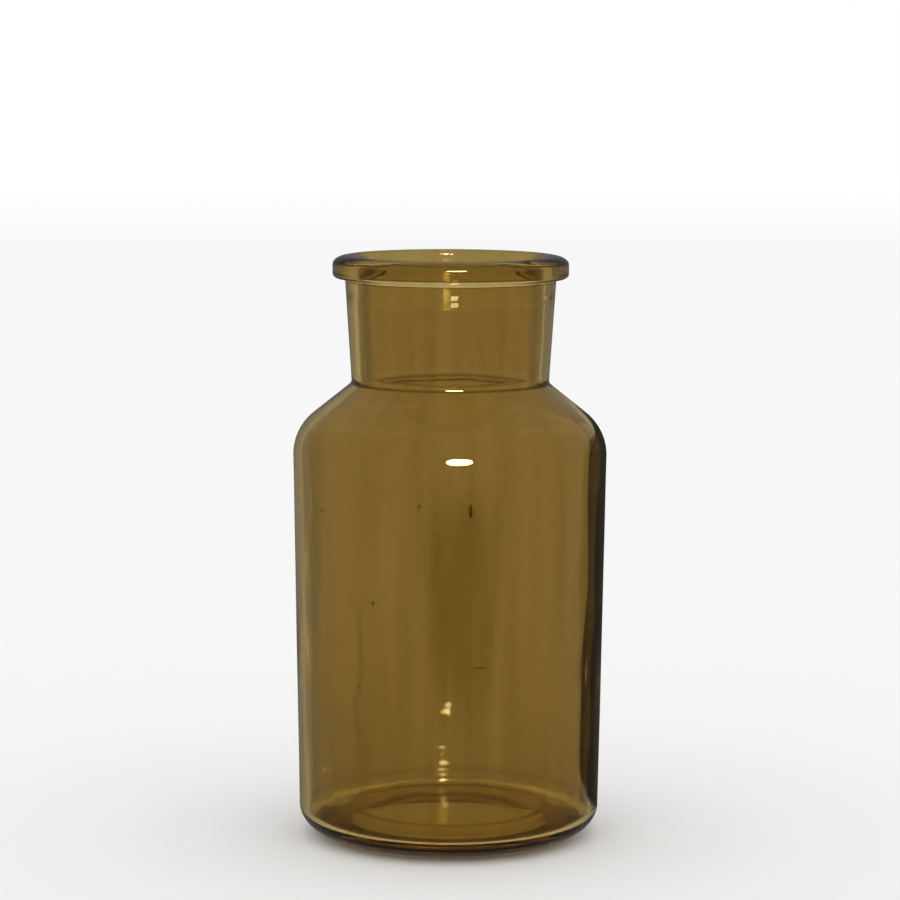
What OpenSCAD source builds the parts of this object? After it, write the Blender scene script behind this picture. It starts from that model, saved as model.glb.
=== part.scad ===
// Wide-mouthed apothecary jar, blown in one piece of amber glass.
//
// Units are millimetres. +Z is up along the jar's axis, and the origin is the centre of the ring
// that the jar stands on, so z = 0 is the table.
//
// The jar is one closed outline turned about its axis. The outline runs from the middle of the
// underside, out and up the outside to the mouth, and back down the inside to the middle of the
// floor. Each point is [radius, height].

/* [Body] */
// Outside diameter where the shoulder starts, the widest place
body_d = 105; // [95:0.5:115]
// Outside diameter just above the rounded heel
foot_d = 101.1; // [92:0.1:110]
// Height at which the body turns into the shoulder
shoulder_z = 129.1; // [110:0.1:140]
// Thickness of the wall at the shoulder
wall_top = 2.7; // [2:0.1:4]
// Thickness of the wall just above the floor
wall_foot = 3.1; // [2:0.1:5]

/* [Shoulder] */
// Radius of the rounded part of the shoulder
shoulder_r = 17.5; // [14:0.1:20]
// Angle that the rounded part turns through before the straight slope begins
shoulder_turn = 51.4; // [45:0.1:60]
// Radius of the hollow between the slope and the neck, outside
neck_fillet = 2.2; // [0.8:0.1:3]
// Radius of the bend between the slope and the neck, inside
inner_bend = 7; // [2:0.1:9]

/* [Neck] */
// Outside diameter at the foot of the neck
neck_foot_d = 66; // [62:0.1:70]
// Outside diameter under the flange
neck_top_d = 70.5; // [67:0.1:73]
// Thickness of the wall at the foot of the neck
neck_wall = 3.2; // [2.5:0.1:4]

/* [Mouth] */
// Height of the whole jar
jar_h = 195.6; // [185:0.1:210]
// Outside diameter of the flange
flange_d = 78.8; // [77:0.1:86]
// Thickness of the flange
flange_t = 7.4; // [6:0.1:9]
// Radius of the flange's rounded lower edge
flange_round = 1.6; // [1:0.1:2.9]
// Width of the crown, the part of the flange's top that curves down to its outer edge
crown_w = 5; // [3:0.1:6]
// Height of that curve
crown_h = 2.9; // [2:0.1:4]
// Radius of the hollow under the flange
flange_fillet = 1.2; // [0.6:0.1:1.4]
// Diameter of the straight mouth, which takes a stopper
mouth_d = 62; // [58:0.1:63]
// Radius of the round between the flange's top and the mouth
lip_round = 1.8; // [1:0.1:2.5]
// Depth below the rim at which the straight mouth ends
mouth_depth = 12.8; // [10:0.1:18]
// How far the bore widens just below the straight mouth
mouth_step = 0.25; // [0.2:0.05:0.8]

/* [Base] */
// Width of the curve of the outer heel
heel_w = 14.6; // [10:0.1:15]
// Height of the curve of the outer heel
heel_h = 10.2; // [7:0.1:13]
// Inside diameter of the flat ring that the jar stands on
push_d = 68.4; // [60:0.1:70]
// Height of the middle of the underside, which is pushed up
push_h = 6.4; // [3:0.1:6.5]
// Width of the curve at the foot of the inside wall
inner_heel_w = 3.4; // [2:0.1:6]
// Height of the curve at the foot of the inside wall
inner_heel_h = 3.6; // [2:0.1:6]
// Height of the floor's lowest place, next to the wall
moat_z = 6.5; // [5:0.1:7.5]
// Diameter of the raised middle of the floor
plateau_d = 65.6; // [60:0.1:70]
// Height of the edge of that raised middle
plateau_z = 9.9; // [9:0.1:12]
// Rise of the raised middle from its edge to the axis
floor_rise = 0.7; // [0.2:0.1:1.5]
// Width of the groove pressed round the edge of the raised middle
groove_w = 1.6; // [0.8:0.1:2.4]
// Depth of that groove
groove_depth = 0.5; // [0.2:0.1:0.8]

/* [Hidden] */
$fn = 192;
amber = [0.47, 0.37, 0.18, 0.55];
arc_step = 6;
dome_steps = 12;

body_r = body_d / 2;
foot_r = foot_d / 2;
neck_foot_r = neck_foot_d / 2;
neck_top_r = neck_top_d / 2;
flange_r = flange_d / 2;
mouth_r = mouth_d / 2;
flange_bottom = jar_h - flange_t;
mouth_end = jar_h - mouth_depth;
push_r = push_d / 2;
plateau_r = plateau_d / 2;
moat_r = foot_r - wall_foot - inner_heel_w;

// The shoulder's round is one centre for the outside and the inside.
shoulder_centre = [body_r - shoulder_r, shoulder_z];
inner_shoulder_r = shoulder_r - wall_top;

// Points along part of an ellipse, from angle a0 to angle a1.
function arc(centre, rx, ry, a0, a1) =
    let (steps = max(3, ceil(abs(a1 - a0) / arc_step)))
    [for (i = [0:steps])
        let (a = a0 + (a1 - a0) * i / steps)
        centre + [rx * cos(a), ry * sin(a)]];

// Points of a round of radius r in place of the corner at q, between p and s.
function rounded(p, q, s, r) =
    let (
        to_p = (p - q) / norm(p - q),
        to_s = (s - q) / norm(s - q),
        half = acos(to_p * to_s) / 2,
        centre = q + (to_p + to_s) / norm(to_p + to_s) * r / sin(half),
        first = q + to_p * r / tan(half) - centre,
        last = q + to_s * r / tan(half) - centre,
        a0 = atan2(first[1], first[0]),
        turn = atan2(last[1], last[0]) - a0,
        short = turn > 180 ? turn - 360 : turn < -180 ? turn + 360 : turn
    )
    arc(centre, r, r, a0, a0 + short);

// Points along a shallow dome, from [r, z0] to height z1 on the axis.
function dome(r, z0, z1) =
    [for (i = [0:dome_steps])
        let (t = 1 - i / dome_steps)
        [r * t, z1 + (z0 - z1) * t * t]];

function reversed(points) = [for (i = [len(points) - 1:-1:0]) points[i]];

// Where the shoulder's straight slope starts, for a round of radius r_round.
function slope_start(r_round) =
    shoulder_centre + r_round * [cos(shoulder_turn), sin(shoulder_turn)];

// Where that slope reaches radius r.
function slope_at(r_round, r) =
    let (start = slope_start(r_round))
    [r, start[1] + (start[0] - r) / tan(shoulder_turn)];

neck_foot = slope_at(shoulder_r, neck_foot_r);
neck_top = [neck_top_r, flange_bottom];
inner_neck_foot = slope_at(inner_shoulder_r, neck_foot_r - neck_wall);
bore_top = [mouth_r + mouth_step, mouth_end - 4 * mouth_step];

// The groove's outer edge lies on the slope that climbs from the moat to the raised middle.
groove_rise = (plateau_z - moat_z) * groove_w / 2 / (moat_r - plateau_r);
groove = [
    [plateau_r + groove_w / 2, plateau_z - groove_rise],
    [plateau_r, plateau_z - groove_depth]
];

underside = reversed(dome(push_r, 0, push_h));

outside = concat(
    arc([foot_r - heel_w, heel_h], heel_w, heel_h, -90, 0),
    arc(shoulder_centre, shoulder_r, shoulder_r, 0, shoulder_turn),
    rounded(slope_start(shoulder_r), neck_foot, neck_top, neck_fillet),
    rounded(neck_foot, neck_top, [flange_r, flange_bottom], flange_fillet),
    arc([flange_r - flange_round, flange_bottom + flange_round], flange_round, flange_round, -90, 0),
    arc([flange_r - crown_w, jar_h - crown_h], crown_w, crown_h, 0, 90)
);

inside = concat(
    arc([mouth_r + lip_round, jar_h - lip_round], lip_round, lip_round, 90, 180),
    [[mouth_r, mouth_end], bore_top],
    rounded(bore_top, inner_neck_foot, slope_start(inner_shoulder_r), inner_bend),
    arc(shoulder_centre, inner_shoulder_r, inner_shoulder_r, shoulder_turn, 0),
    arc([moat_r, moat_z + inner_heel_h], inner_heel_w, inner_heel_h, 0, -90),
    groove,
    dome(plateau_r - groove_w / 2, plateau_z, plateau_z + floor_rise)
);

module jar() {
    color(amber)
        rotate_extrude()
            polygon(concat(underside, outside, inside));
}

jar();
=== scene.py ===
"""Amber glass apothecary jar, blown in one piece: the looks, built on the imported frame.

Lengths in the jar's outline are millimetres and become metres when the mesh is made. +Z is up and
z = 0 is the table. Angles round the jar are radians from the front, which faces the camera (-Y).
"""
import math

import bpy
import numpy as np
from mathutils import Matrix, Vector, noise


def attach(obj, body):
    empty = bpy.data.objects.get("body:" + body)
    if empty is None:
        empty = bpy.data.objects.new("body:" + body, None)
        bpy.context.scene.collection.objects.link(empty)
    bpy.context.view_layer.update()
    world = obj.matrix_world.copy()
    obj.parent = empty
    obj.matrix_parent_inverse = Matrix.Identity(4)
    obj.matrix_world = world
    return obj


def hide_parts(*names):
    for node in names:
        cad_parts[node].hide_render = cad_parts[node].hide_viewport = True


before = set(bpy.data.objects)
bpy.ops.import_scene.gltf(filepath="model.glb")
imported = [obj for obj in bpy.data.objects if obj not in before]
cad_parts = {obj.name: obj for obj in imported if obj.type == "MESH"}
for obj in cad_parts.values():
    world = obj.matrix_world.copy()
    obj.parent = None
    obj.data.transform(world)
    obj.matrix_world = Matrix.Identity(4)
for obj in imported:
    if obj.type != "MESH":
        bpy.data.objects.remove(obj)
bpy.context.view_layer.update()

MM = 0.001

# ---------------------------------------------------------------- sizes, as in the CAD
BODY_R = 52.5
FOOT_R = 50.55
SHOULDER_Z = 129.1
WALL_TOP = 2.7
WALL_FOOT = 3.1
SHOULDER_R = 17.5
SHOULDER_TURN = 51.4
NECK_FILLET = 2.2
INNER_BEND = 7.0
NECK_FOOT_R = 33.0
NECK_TOP_R = 35.25
NECK_WALL = 3.2
JAR_H = 195.6
FLANGE_R = 39.4
FLANGE_T = 7.4
FLANGE_ROUND = 1.6
CROWN_W = 5.0
CROWN_H = 2.9
FLANGE_FILLET = 1.2
MOUTH_R = 31.0
LIP_ROUND = 1.8
MOUTH_DEPTH = 12.8
MOUTH_STEP = 0.25
HEEL_W = 14.6
HEEL_H = 10.2
PUSH_R = 34.2
PUSH_H = 6.4
INNER_HEEL_W = 3.4
INNER_HEEL_H = 3.6
MOAT_Z = 6.5
PLATEAU_R = 32.8
PLATEAU_Z = 9.9
FLOOR_RISE = 0.7
GROOVE_W = 1.6
GROOVE_DEPTH = 0.5


# ---------------------------------------------------------------- the outline
def arc(centre, rx, ry, a0, a1, step=3.0):
    """Points along part of an ellipse, from a0 to a1 degrees."""
    n = max(4, math.ceil(abs(a1 - a0) / step))
    angles = np.radians(np.linspace(a0, a1, n + 1))
    return [(centre[0] + rx * math.cos(a), centre[1] + ry * math.sin(a)) for a in angles]


def rounded(p, q, s, r):
    """Points of a round of radius r in place of the corner at q, between p and s."""
    p, q, s = (np.array(v, float) for v in (p, q, s))
    to_p = (p - q) / np.linalg.norm(p - q)
    to_s = (s - q) / np.linalg.norm(s - q)
    half = math.acos(float(to_p @ to_s)) / 2
    centre = q + (to_p + to_s) / np.linalg.norm(to_p + to_s) * r / math.sin(half)
    first = q + to_p * r / math.tan(half) - centre
    last = q + to_s * r / math.tan(half) - centre
    a0 = math.degrees(math.atan2(first[1], first[0]))
    turn = math.degrees(math.atan2(last[1], last[0])) - a0
    turn = (turn + 180) % 360 - 180
    return arc(centre, r, r, a0, a0 + turn, 6.0)


def dome(r, z0, z1, steps=24):
    """Points along a shallow dome, from radius r at z0 to the axis at z1."""
    return [(r * t, z1 + (z0 - z1) * t * t) for t in np.linspace(1, 0, steps + 1)]


def line(p, q, spacing=3.0):
    """Points between p and q, both ends left out."""
    n = int(math.dist(p, q) / spacing)
    return [tuple(np.array(p) + (np.array(q) - np.array(p)) * i / (n + 1)) for i in range(1, n + 1)]


def chain(*runs):
    """One list of points from several runs, with the long gaps between them filled."""
    out = list(runs[0])
    for run in runs[1:]:
        out += line(out[-1], run[0]) + list(run)
    return out


def slope_start(r):
    """Where the shoulder's straight slope starts, for a round of radius r."""
    a = math.radians(SHOULDER_TURN)
    return (BODY_R - SHOULDER_R + r * math.cos(a), SHOULDER_Z + r * math.sin(a))


def slope_at(r_round, r):
    """Where that slope reaches radius r."""
    start = slope_start(r_round)
    return (r, start[1] + (start[0] - r) / math.tan(math.radians(SHOULDER_TURN)))


def outline():
    """The outside from the middle of the underside up to the rim, and the inside from there down.

    The point above the floor's corner gives the crease there a ring of its own.
    """
    inner_shoulder_r = SHOULDER_R - WALL_TOP
    shoulder_centre = (BODY_R - SHOULDER_R, SHOULDER_Z)
    flange_bottom = JAR_H - FLANGE_T
    flange_edge = (FLANGE_R - FLANGE_ROUND, flange_bottom + FLANGE_ROUND)
    neck_foot = slope_at(SHOULDER_R, NECK_FOOT_R)
    neck_top = (NECK_TOP_R, flange_bottom)
    inner_neck_foot = slope_at(inner_shoulder_r, NECK_FOOT_R - NECK_WALL)
    mouth_end = JAR_H - MOUTH_DEPTH
    bore_top = (MOUTH_R + MOUTH_STEP, mouth_end - 4 * MOUTH_STEP)
    moat_r = FOOT_R - WALL_FOOT - INNER_HEEL_W
    above_corner = (FOOT_R - WALL_FOOT + 0.02, MOAT_Z + INNER_HEEL_H + 1.0)
    groove_rise = (PLATEAU_Z - MOAT_Z) * GROOVE_W / 2 / (moat_r - PLATEAU_R)
    outside = chain(
        dome(PUSH_R, 0, PUSH_H)[::-1],
        arc((FOOT_R - HEEL_W, HEEL_H), HEEL_W, HEEL_H, -90, 0),
        arc(shoulder_centre, SHOULDER_R, SHOULDER_R, 0, SHOULDER_TURN),
        rounded(slope_start(SHOULDER_R), neck_foot, neck_top, NECK_FILLET),
        rounded(neck_foot, neck_top, (FLANGE_R, flange_bottom), FLANGE_FILLET),
        arc(flange_edge, FLANGE_ROUND, FLANGE_ROUND, -90, 0, 6),
        arc((FLANGE_R - CROWN_W, JAR_H - CROWN_H), CROWN_W, CROWN_H, 0, 90, 5),
    )
    inside = chain(
        arc((MOUTH_R + LIP_ROUND, JAR_H - LIP_ROUND), LIP_ROUND, LIP_ROUND, 90, 180, 6),
        [(MOUTH_R, mouth_end), bore_top],
        rounded(bore_top, inner_neck_foot, slope_start(inner_shoulder_r), INNER_BEND),
        arc(shoulder_centre, inner_shoulder_r, inner_shoulder_r, SHOULDER_TURN, 0),
        [above_corner],
        arc((moat_r, MOAT_Z + INNER_HEEL_H), INNER_HEEL_W, INNER_HEEL_H, 0, -90),
        [(PLATEAU_R + GROOVE_W / 2, PLATEAU_Z - groove_rise), (PLATEAU_R, PLATEAU_Z - GROOVE_DEPTH)],
        dome(PLATEAU_R - GROOVE_W / 2, PLATEAU_Z, PLATEAU_Z + FLOOR_RISE),
    )
    return outside, inside


# ---------------------------------------------------------------- the unevenness of blown glass, and painted shade
# Heights of the broad waves and the fine ripples in the wall, and of the waves in the floor, in
# millimetres.
WAVE = 0.11
RIPPLE = 0.055
FLOOR_WAVE = 0.07
# How dark the flow line is, and where it runs, in degrees from the front.
FLOW_LINE = 0.45
FLOW_LINE_ANGLE = -36
# Height of the crease round the foot of the neck, where a thin line of shade is painted.
CREASE_Z = slope_at(SHOULDER_R, NECK_FOOT_R)[1] + 0.2
# The glass's usual share of the deeper amber, and the middle and half width of the stripe of painted
# shade down the front, in radians.
EVEN_BAND = 0.25
PAINTED_SHADE_STRIPE_ANGLE = 0.08
PAINTED_SHADE_STRIPE_HALF = 0.24


def smooth(x, low, high):
    """0 below low, 1 above high, and an even curve between."""
    t = min(max((x - low) / (high - low), 0.0), 1.0)
    return t * t * (3 - 2 * t)


def swell(a, z, around, along, seed):
    """Smooth noise on the wall from about -1 to 1, drawn out along the jar."""
    return noise.noise(Vector((around * math.cos(a), around * math.sin(a), along * z + seed)))


def wall_wave(a, z, seed):
    """How far the wall's surface lies off the true circle, in millimetres."""
    amount = smooth(z, 4, 25) * (1 - 0.6 * smooth(z, 150, 160)) * (1 - 0.8 * smooth(z, 180, 188))
    return amount * (WAVE * swell(a, z, 2.2, 0.02, seed) + RIPPLE * swell(a, z, 9.0, 0.05, seed + 5))


def line_at(x, centre, half):
    """1 on a soft line of that half width, and 0 away from it."""
    return math.exp(-(((x - centre) / half) ** 2))


def from_front(a):
    """The same angle, from -pi to pi."""
    return (a + math.pi) % (2 * math.pi) - math.pi


def flow_line(a, z):
    """How dark the wavy upright line is here, left where the glass folded as it was blown."""
    middle = math.radians(FLOW_LINE_ANGLE) + 0.09 * noise.noise(Vector((0.05 * z, 0, 9)))
    middle += 0.02 * noise.noise(Vector((0.3 * z, 0, 2)))
    across = (from_front(a) - middle) * BODY_R
    return FLOW_LINE * line_at(across, 0, 1.0) * smooth(z, 28, 45) * (1 - smooth(z, 78, 90))


def floor_wave(x, y, seed):
    """How far the floor lies off its true height, in millimetres."""
    return FLOOR_WAVE * noise.noise(Vector((x * 0.11, y * 0.11, seed)))


def tone_and_painted_shade(a, r, z):
    """The share of the deeper amber here, from 0 to 1: random upright streaks in the glass, a little
    more towards the bottom, and painted shade in a stripe down the front and on the rim, darkest at
    the back.

    In the base these fade out towards the axis, where they would all meet.
    """
    in_base = z < MOAT_Z + 6
    strength = smooth(r, 15, 46) if in_base else 1
    # Painted shade: a dark stripe down the front, standing in for something dark seen through the
    # glass.
    middle = line_at(from_front(a), PAINTED_SHADE_STRIPE_ANGLE, PAINTED_SHADE_STRIPE_HALF)
    middle *= smooth(z, 35, 80) * (1 - smooth(z, 105, 135))
    # Random streaks of deeper amber in the glass.
    streak = 0.5 + 0.8 * swell(a, z, 7.0, 0.012, 21) + 0.5 * swell(a, z, 18.0, 0.02, 33)
    # Darker towards the bottom.
    low = 0.15 * (1 - smooth(z, 15, 75))
    # Painted shade on the rim, darkest at the back.
    rim = smooth(z, 187, 190) * (0.45 - 0.35 * math.cos(a))
    tone_with_painted_shade = middle * (0.5 + 1.0 * streak) + 0.36 * streak - 0.05 + low + rim
    return EVEN_BAND + (tone_with_painted_shade - EVEN_BAND) * strength


def crease(a, r, z, inner):
    """How dark a thin line is here, from 0 to 1.

    They run round the neck's foot, the floor's edge and its groove, where they are painted shade, and
    up the flow line, which is the glass's own mark.
    """
    if not inner:
        # Painted shade in the crease round the neck's foot.
        return line_at(z, CREASE_Z, 0.4)
    # Painted shade in the floor's groove.
    if r < PLATEAU_R + 2 and z < PLATEAU_Z + 1:
        return line_at(r, PLATEAU_R, 0.6)
    # Painted shade at the floor's edge, plus the flow line, which is the glass's own.
    corner = 0.6 * line_at(z, MOAT_Z + INNER_HEEL_H + 0.3, 0.5)
    return corner + flow_line(a, z)


SEGMENTS = 256
INSIDE_SEED = 40
FLOOR_SEED = 3


def revolve(outside, inside):
    """A closed, slightly uneven mesh of the outline turned about the axis.

    Also returns each vertex's share of the deeper amber, painted shade included, and how dark it is
    there from painted shade in a crease and from the flow line.
    """
    points = outside + inside
    turns = np.linspace(0, 2 * math.pi, SEGMENTS, endpoint=False)
    rings = points[1:-1]
    verts = [(0.0, 0.0, points[0][1] * MM)]
    tone_and_shade_shares, creases = [EVEN_BAND], [0.0]
    for k, (r, z) in enumerate(rings):
        inner = k >= len(outside) - 1
        seed = INSIDE_SEED if inner else 0
        on_floor = inner and r < PLATEAU_R + 1 and z < PLATEAU_Z + 2
        for a in turns:
            x, y = math.sin(a), -math.cos(a)
            if on_floor:
                lift = floor_wave(r * x, r * y, FLOOR_SEED) * smooth(r, 0, 4)
                verts.append((r * x * MM, r * y * MM, (z + lift) * MM))
            else:
                away = r + wall_wave(a, z, seed)
                verts.append((away * x * MM, away * y * MM, z * MM))
            tone_and_shade_shares.append(tone_and_painted_shade(a, r, z))
            creases.append(crease(a, r, z, inner))
    verts.append((0.0, 0.0, points[-1][1] * MM))
    tone_and_shade_shares.append(EVEN_BAND)
    creases.append(0.0)
    last = len(verts) - 1
    faces = []
    for i in range(SEGMENTS):
        j = (i + 1) % SEGMENTS
        faces.append((0, 1 + j, 1 + i))
        for k in range(len(rings) - 1):
            a, b = 1 + k * SEGMENTS, 1 + (k + 1) * SEGMENTS
            faces.append((a + i, a + j, b + j, b + i))
        b = 1 + (len(rings) - 1) * SEGMENTS
        faces.append((b + i, b + j, last))
    return verts, faces, tone_and_shade_shares, creases


def wall_point(a, z, depth):
    """A point in the front of the wall, depth millimetres under the outside."""
    r = FOOT_R + (BODY_R - FOOT_R) * (z - HEEL_H) / (SHOULDER_Z - HEEL_H) - depth
    return Vector((r * math.sin(a), -r * math.cos(a), z))


def add_bubble(verts, faces, tone_and_shade_shares, a, z, radius, height, lean=0.0, depth=1.3):
    """A seed: a small closed hollow in the wall, whose faces look inward, in line with the glass."""
    centre = wall_point(a, z, depth)
    side = Vector((math.cos(a), math.sin(a), 0))
    out = Vector((math.sin(a), -math.cos(a), 0))
    up = Vector((0, 0, 1)) * math.cos(lean) + side * math.sin(lean)
    side = side * math.cos(lean) - Vector((0, 0, 1)) * math.sin(lean)
    rows, columns = 7, 12
    first = len(verts)
    for i in range(rows + 1):
        polar = math.pi * (i + 0.02) / (rows + 0.04)
        for k in range(columns):
            turn = 2 * math.pi * k / columns
            p = centre + up * height * math.cos(polar)
            p += (side * math.cos(turn) + out * math.sin(turn)) * radius * math.sin(polar)
            verts.append(tuple(p * MM))
            tone_and_shade_shares.append(EVEN_BAND)
    for i in range(rows):
        for k in range(columns):
            n = (k + 1) % columns
            b, c = first + i * columns, first + (i + 1) * columns
            faces.append((b + k, c + k, c + n, b + n))
    faces.append(tuple(first + k for k in range(columns)))
    faces.append(tuple(first + rows * columns + k for k in reversed(range(columns))))


# Angle from the front in degrees, height, half width and half height of each seed in the wall.
SEEDS = [
    (-54, 114.0, 0.55, 0.7),
    (-11, 118.2, 0.45, 0.6),
    (-29, 85.8, 0.5, 0.6),
    (-35, 58.0, 0.45, 0.6),
    (7.5, 116.9, 0.6, 2.2),
]
# The same for the one that lies on its side.
DASH = (11.5, 65.5, 0.25, 2.4)


def store(mesh, name, values):
    """Keep a value from 0 to 1 at each vertex, for the material."""
    layer = mesh.attributes.new(name, "FLOAT", "POINT")
    layer.data.foreach_set("value", [min(max(v, 0.0), 1.0) for v in values])


def jar():
    """The whole jar in one mesh, seeds and all, because it is one piece of glass."""
    verts, faces, tone_and_shade_shares, creases = revolve(*outline())
    for degrees, z, radius, height in SEEDS:
        add_bubble(verts, faces, tone_and_shade_shares, math.radians(degrees), z, radius, height)
    degrees, z, radius, height = DASH
    add_bubble(verts, faces, tone_and_shade_shares, math.radians(degrees), z, radius, height, lean=math.pi / 2)
    mesh = bpy.data.meshes.new("jar_glass")
    mesh.from_pydata(verts, [], faces)
    mesh.validate()
    mesh.update()
    mesh.shade_smooth()
    creases += [0.0] * (len(verts) - len(creases))
    # The share of deeper amber, painted shade included.
    store(mesh, "tone_and_painted_shade", tone_and_shade_shares)
    # How dark painted shade in creases, and the flow line, make the glass.
    store(mesh, "crease", creases)
    obj = bpy.data.objects.new("jar_glass", mesh)
    bpy.context.scene.collection.objects.link(obj)
    mesh.materials.append(glass_material())
    return obj


# ---------------------------------------------------------------- glass
# Light is tinted by the square root of these at each surface that it crosses.
AMBER = (0.51, 0.40, 0.19, 1)
# The deeper amber of the glass's streaks, also used for its painted shade.
DEEP_AMBER_AND_PAINTED_SHADE = (0.36, 0.27, 0.085, 1)
# The darkest amber, for painted shade lines in creases and for the glass's flow line.
CREASE_SHADE_AND_FLOW_LINE_AMBER = (0.10, 0.07, 0.02, 1)
# The glass's thickness tints it a little more.
DEPTH_COLOUR = (0.64, 0.5, 0.1, 1)
DEPTH_DENSITY = 60
REFLECTION_COLOUR = (1.0, 0.8, 0.4, 1)
GLASS_IOR = 1.52


def add_tint(nt, attribute, colour):
    """A mix towards a colour by a stored value. Returns its free colour input and its output."""
    amount = nt.nodes.new("ShaderNodeAttribute")
    amount.attribute_name = attribute
    mix = nt.nodes.new("ShaderNodeMix")
    mix.data_type = "RGBA"
    nt.links.new(amount.outputs["Fac"], mix.inputs["Factor"])
    first, second = [socket for socket in mix.inputs if socket.type == "RGBA"]
    second.default_value = colour
    result = [socket for socket in mix.outputs if socket.type == "RGBA"][0]
    return first, result


def glass_material():
    """Clear amber glass, deeper in streaks and painted shade, darker in painted shade in creases and
    a flow line.
    """
    mat = bpy.data.materials.new("amber_glass")
    mat.use_nodes = True
    nt = mat.node_tree
    bsdf = nt.nodes["Principled BSDF"]
    bsdf.inputs["Transmission Weight"].default_value = 1.0
    bsdf.inputs["Roughness"].default_value = 0.0
    bsdf.inputs["IOR"].default_value = GLASS_IOR
    bsdf.inputs["Specular Tint"].default_value = REFLECTION_COLOUR
    absorb = nt.nodes.new("ShaderNodeVolumeAbsorption")
    absorb.inputs["Color"].default_value = DEPTH_COLOUR
    absorb.inputs["Density"].default_value = DEPTH_DENSITY
    nt.links.new(absorb.outputs["Volume"], nt.nodes["Material Output"].inputs["Volume"])
    # Deeper amber where the glass is streaked and where shade is painted.
    plain_input, tone_with_painted_shade = add_tint(nt, "tone_and_painted_shade", DEEP_AMBER_AND_PAINTED_SHADE)
    plain_input.default_value = AMBER
    # Darkest amber for painted shade in creases and for the flow line.
    banded_input, creased = add_tint(nt, "crease", CREASE_SHADE_AND_FLOW_LINE_AMBER)
    nt.links.new(tone_with_painted_shade, banded_input)
    nt.links.new(creased, bsdf.inputs["Base Color"])
    return mat


glass = jar()
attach(glass, "root")
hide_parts("jar")

# ---------------------------------------------------------------- camera
# Metres from the jar's axis and above the table, degrees down and round, and millimetres.
CAMERA_DISTANCE = 1.077
CAMERA_HEIGHT = 0.2637
CAMERA_PITCH = 7.06
CAMERA_ROLL = 0.24
CAMERA_LENS = 129.4


def add_camera():
    """The camera, looking along +Y and slightly down."""
    data = bpy.data.cameras.new("camera")
    data.lens = CAMERA_LENS
    data.sensor_width = 36
    cam = bpy.data.objects.new("camera", data)
    bpy.context.scene.collection.objects.link(cam)
    pitch, roll = math.radians(CAMERA_PITCH), math.radians(CAMERA_ROLL)
    forward = Vector((0, math.cos(pitch), -math.sin(pitch)))
    right = Vector((1, 0, 0))
    up = right.cross(forward)
    x_axis = right * math.cos(roll) + up * math.sin(roll)
    y_axis = up * math.cos(roll) - right * math.sin(roll)
    cam.matrix_world = Matrix((
        (x_axis.x, y_axis.x, -forward.x, 0),
        (x_axis.y, y_axis.y, -forward.y, -CAMERA_DISTANCE),
        (x_axis.z, y_axis.z, -forward.z, CAMERA_HEIGHT),
        (0, 0, 0, 1),
    ))
    data.clip_start, data.clip_end = 0.01, 50
    bpy.context.scene.camera = cam


add_camera()

# ---------------------------------------------------------------- studio
# The floor lies just under the table's plane. It is white from FLOOR_FAR on, and slightly grey up to
# FLOOR_NEAR, all in metres from the jar.
FLOOR_Z = -0.0002
FLOOR_RADIUS = 6
FLOOR_SHADE = 0.93
FLOOR_NEAR = 2.8
FLOOR_FAR = 5.4
# Under the jar the floor glows, for the glass only, up to GLOW_FLAT from a point GLOW_BACK behind the
# axis, and fades out by GLOW_RADIUS.
FLOOR_GLOW = 0.85
GLOW_FLAT = 0.045
GLOW_BACK = 0.006
GLOW_RADIUS = 0.065


def add_fade(nt, distance, start, end, from_value, to_value):
    """A smooth change from one value to another between two distances. Returns its output."""
    fade = nt.nodes.new("ShaderNodeMapRange")
    fade.interpolation_type = "SMOOTHSTEP"
    fade.inputs["From Min"].default_value = start
    fade.inputs["From Max"].default_value = end
    fade.inputs["To Min"].default_value = from_value
    fade.inputs["To Max"].default_value = to_value
    nt.links.new(distance, fade.inputs["Value"])
    return fade.outputs["Result"]


def floor_material():
    """Pale and matt, whiter far away, with a glow under the jar that only the glass sees."""
    mat = bpy.data.materials.new("floor")
    mat.use_nodes = True
    nt = mat.node_tree
    bsdf = nt.nodes["Principled BSDF"]
    bsdf.inputs["Roughness"].default_value = 1.0
    bsdf.inputs["Specular IOR Level"].default_value = 0.0
    bsdf.inputs["Emission Color"].default_value = (1, 1, 1, 1)
    place = nt.nodes.new("ShaderNodeTexCoord")
    shift = nt.nodes.new("ShaderNodeVectorMath")
    shift.operation = "SUBTRACT"
    shift.inputs[1].default_value = (0, GLOW_BACK, 0)
    nt.links.new(place.outputs["Object"], shift.inputs[0])
    length = nt.nodes.new("ShaderNodeVectorMath")
    length.operation = "LENGTH"
    nt.links.new(shift.outputs["Vector"], length.inputs[0])
    distance = length.outputs["Value"]
    shade = add_fade(nt, distance, FLOOR_NEAR, FLOOR_FAR, FLOOR_SHADE, 1.0)
    nt.links.new(shade, bsdf.inputs["Base Color"])
    glow = add_fade(nt, distance, GLOW_FLAT, GLOW_RADIUS, FLOOR_GLOW, 0.0)
    path = nt.nodes.new("ShaderNodeLightPath")
    through_glass = nt.nodes.new("ShaderNodeMath")
    through_glass.operation = "MULTIPLY"
    nt.links.new(glow, through_glass.inputs[0])
    nt.links.new(path.outputs["Is Transmission Ray"], through_glass.inputs[1])
    nt.links.new(through_glass.outputs["Value"], bsdf.inputs["Emission Strength"])
    return mat


def add_floor():
    """A plain round floor, left out of reflections so that the glass stays clear."""
    bpy.ops.mesh.primitive_circle_add(
        vertices=128, radius=FLOOR_RADIUS, fill_type="NGON", location=(0, 0, FLOOR_Z))
    floor = bpy.context.object
    floor.name = "floor"
    floor.data.materials.append(floor_material())
    floor.visible_glossy = False


CARD_COLOUR = (1, 1, 1, 1)
GLINT_COLOUR = (0.62, 0.8, 1.7, 1)


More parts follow.
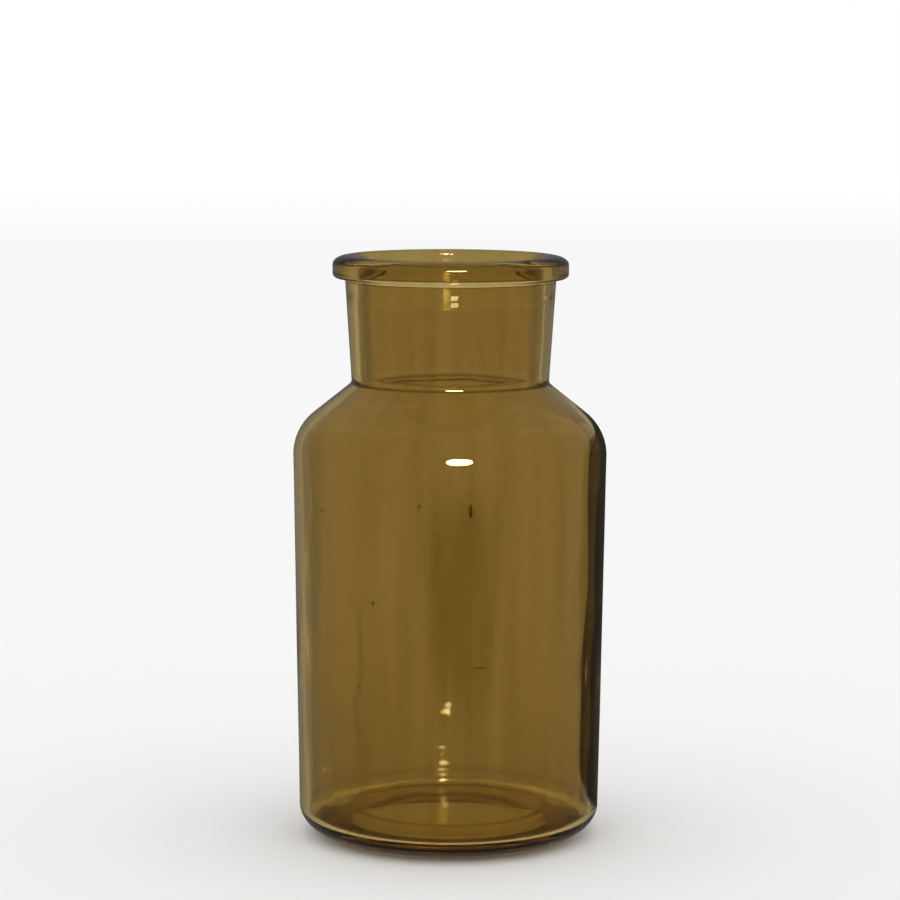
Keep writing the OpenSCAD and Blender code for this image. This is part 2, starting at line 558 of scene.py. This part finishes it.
def glow_material(name, is_glint):
    """A shader that gives off the light stored in the mesh: a card's over black, a glint's over what
    lies behind it."""
    mat = bpy.data.materials.new(name)
    mat.use_nodes = True
    nt = mat.node_tree
    bsdf = nt.nodes["Principled BSDF"]
    bsdf.inputs["Base Color"].default_value = (0, 0, 0, 1)
    bsdf.inputs["Roughness"].default_value = 1.0
    bsdf.inputs["Specular IOR Level"].default_value = 0.0
    bsdf.inputs["Emission Color"].default_value = GLINT_COLOUR if is_glint else CARD_COLOUR
    level = nt.nodes.new("ShaderNodeAttribute")
    level.attribute_name = "glow"
    nt.links.new(level.outputs["Fac"], bsdf.inputs["Emission Strength"])
    if is_glint:
        clear = nt.nodes.new("ShaderNodeBsdfTransparent")
        both = nt.nodes.new("ShaderNodeAddShader")
        nt.links.new(bsdf.outputs["BSDF"], both.inputs[0])
        nt.links.new(clear.outputs["BSDF"], both.inputs[1])
        nt.links.new(both.outputs["Shader"], nt.nodes["Material Output"].inputs["Surface"])
    return mat


def add_glow_mesh(name, verts, faces, glow, is_glint, in_reflections=False):
    """A mesh with a stored glow that the camera doesn't see, except through the glass."""
    mesh = bpy.data.meshes.new(name)
    mesh.from_pydata(verts, [], faces)
    shade = mesh.attributes.new("glow", "FLOAT", "POINT")
    shade.data.foreach_set("value", glow)
    mesh.materials.append(glow_material(name, is_glint))
    obj = bpy.data.objects.new(name, mesh)
    bpy.context.scene.collection.objects.link(obj)
    obj.visible_camera = False
    obj.visible_shadow = False
    obj.visible_diffuse = False
    obj.visible_glossy = in_reflections


def add_side_card(name, side, heights, y, shares, levels, in_reflections=False):
    """A card beside the jar, cut to follow its outline, that only the glass sees.

    The shares say how far out its inner edge, its middle and its outer edge lie, as parts of the
    jar's radius there, and the levels say how bright it is at each.
    """
    rows = [(r, z) for r, z in outside_above_heel() if heights[0] <= z <= heights[1]]
    verts, glow = [], []
    for r, z in rows:
        for share, level in zip(shares, levels):
            verts.append((side * share * r * MM, y, z * MM))
            glow.append(level)
    faces = []
    for i in range(len(rows) - 1):
        for k in (0, 1):
            a, b = 3 * i + k, 3 * (i + 1) + k
            faces.append((a, a + 1, b + 1, b))
    add_glow_mesh(name, verts, faces, glow, is_glint=False, in_reflections=in_reflections)


def outside_above_heel():
    """The outside of the jar from the table to the rim, without the underside and the flange."""
    rows = [(FOOT_R, 0.5)]
    top = JAR_H - FLANGE_T - 1
    rows += [p for p in outline()[0] if p[0] > NECK_FOOT_R - 1 and HEEL_H < p[1] < top]
    rows.append((NECK_TOP_R, JAR_H))
    return rows


# Reflections see this much of the white world, so that they don't wash the glass out.
REFLECTED = 0.15


def add_world():
    """An even white world, dimmed for what is reflected."""
    world = bpy.data.worlds.new("studio")
    bpy.context.scene.world = world
    world.use_nodes = True
    bg = world.node_tree.nodes["Background"]
    bg.inputs["Color"].default_value = (1, 1, 1, 1)
    nt = world.node_tree
    path = nt.nodes.new("ShaderNodeLightPath")
    dim = nt.nodes.new("ShaderNodeMath")
    dim.operation = "MULTIPLY_ADD"
    dim.inputs[1].default_value = REFLECTED - 1
    dim.inputs[2].default_value = 1
    spec = nt.nodes.new("ShaderNodeMath")
    spec.operation = "SUBTRACT"
    nt.links.new(path.outputs["Is Reflection Ray"], spec.inputs[0])
    nt.links.new(path.outputs["Is Diffuse Ray"], spec.inputs[1])
    nt.links.new(spec.outputs[0], dim.inputs[0])
    nt.links.new(dim.outputs[0], bg.inputs["Strength"])


AIM_HEIGHT = 0.1


def add_softbox(name, azimuth, elevation, distance, width, height, power, colour, shape):
    """A flat light that faces the middle of the jar, azimuth degrees right of the front."""
    data = bpy.data.lights.new(name, "AREA")
    data.shape = shape
    data.size, data.size_y = width, height
    data.energy = power
    data.color = colour
    lamp = bpy.data.objects.new(name, data)
    bpy.context.scene.collection.objects.link(lamp)
    a, e = math.radians(azimuth), math.radians(elevation)
    aim = Vector((0, 0, AIM_HEIGHT))
    out = Vector((math.sin(a) * math.cos(e), -math.cos(a) * math.cos(e), math.sin(e)))
    lamp.location = aim + out * distance
    lamp.rotation_mode = "QUATERNION"
    lamp.rotation_quaternion = (-out).to_track_quat("-Z", "Y")
    return lamp


# Place across, back and up, half width and half height in millimetres, and strength of each glint.
GLINTS = [
    (-0.9, 70, 29.2, 1.7, 1.7, 7.0),
    (-1.2, 70, 27.0, 1.8, 2.0, 9.0),
    (-2.6, 70, 13.4, 2.4, 0.9, 3.5),
    (-1.9, 70, 7.8, 2.4, 1.1, 6.5),
    (-2.5, 70, 5.8, 2.8, 0.5, 4.0),
    (-1.8, 70, 2.2, 2.0, 1.6, 3.5),
    (-1.6, 54, 3.0, 2.4, 2.0, 14.0),
]


def add_glint(x, y, z, half_width, half_height, strength):
    """A soft spot behind the jar, where the back wall would mirror the key light."""
    spokes, rings = 24, 6
    verts = [(x * MM, y * MM, z * MM)]
    glow = [strength]
    for i in range(1, rings + 1):
        t = i / rings
        for k in range(spokes):
            turn = 2 * math.pi * k / spokes
            edge = Vector((1.3 * math.cos(turn) + x, 1.3 * math.sin(turn), z))
            ragged = t * (1 + 0.45 * noise.noise(edge))
            across = x + half_width * ragged * math.cos(turn)
            up = z + half_height * ragged * math.sin(turn)
            verts.append((across * MM, y * MM, up * MM))
            glow.append(strength * (1 - t * t) ** 2)
    faces = []
    for k in range(spokes):
        n = (k + 1) % spokes
        faces.append((0, 1 + k, 1 + n))
        for i in range(rings - 1):
            b, c = 1 + i * spokes, 1 + (i + 1) * spokes
            faces.append((b + k, c + k, c + n, b + n))
    add_glow_mesh("glint", verts, faces, glow, is_glint=True)


add_floor()
add_side_card(
    "left_card", side=-1, heights=(0, 200), y=0.026,
    shares=(0.88, 1.04, 1.9), levels=(1.0, 0.45, 1.0))
add_side_card(
    "right_card", side=1, heights=(152, 200), y=0.026,
    shares=(0.9, 1.02, 1.9), levels=(0.9, 0.5, 0.5))
add_side_card(
    "black_card", side=1, heights=(0, 147), y=0.03,
    shares=(1.04, 1.25, 2.8), levels=(0.0, 0.04, 0.03), in_reflections=True)
add_world()

# The key makes the highlights on the near side, in reflections only.
key = add_softbox(
    "key", azimuth=5.5, elevation=17.5, distance=1.8,
    width=0.60, height=0.42, power=60, colour=(1.0, 0.9, 0.72), shape="ELLIPSE")
key.visible_diffuse = False
key.visible_transmission = False

# The spark makes the paler ones on the far side, seen through the glass only. Its blue offsets amber.
spark = add_softbox(
    "spark", azimuth=5.0, elevation=16.0, distance=1.79,
    width=0.24, height=0.32, power=40, colour=(0.6, 0.9, 1.7), shape="RECTANGLE")
spark.visible_diffuse = False
spark.visible_glossy = False

for glint in GLINTS:
    add_glint(*glint)

scene = bpy.context.scene
scene.view_settings.view_transform = "Standard"
scene.cycles.max_bounces = 32
scene.cycles.transmission_bounces = 32
scene.cycles.glossy_bounces = 16
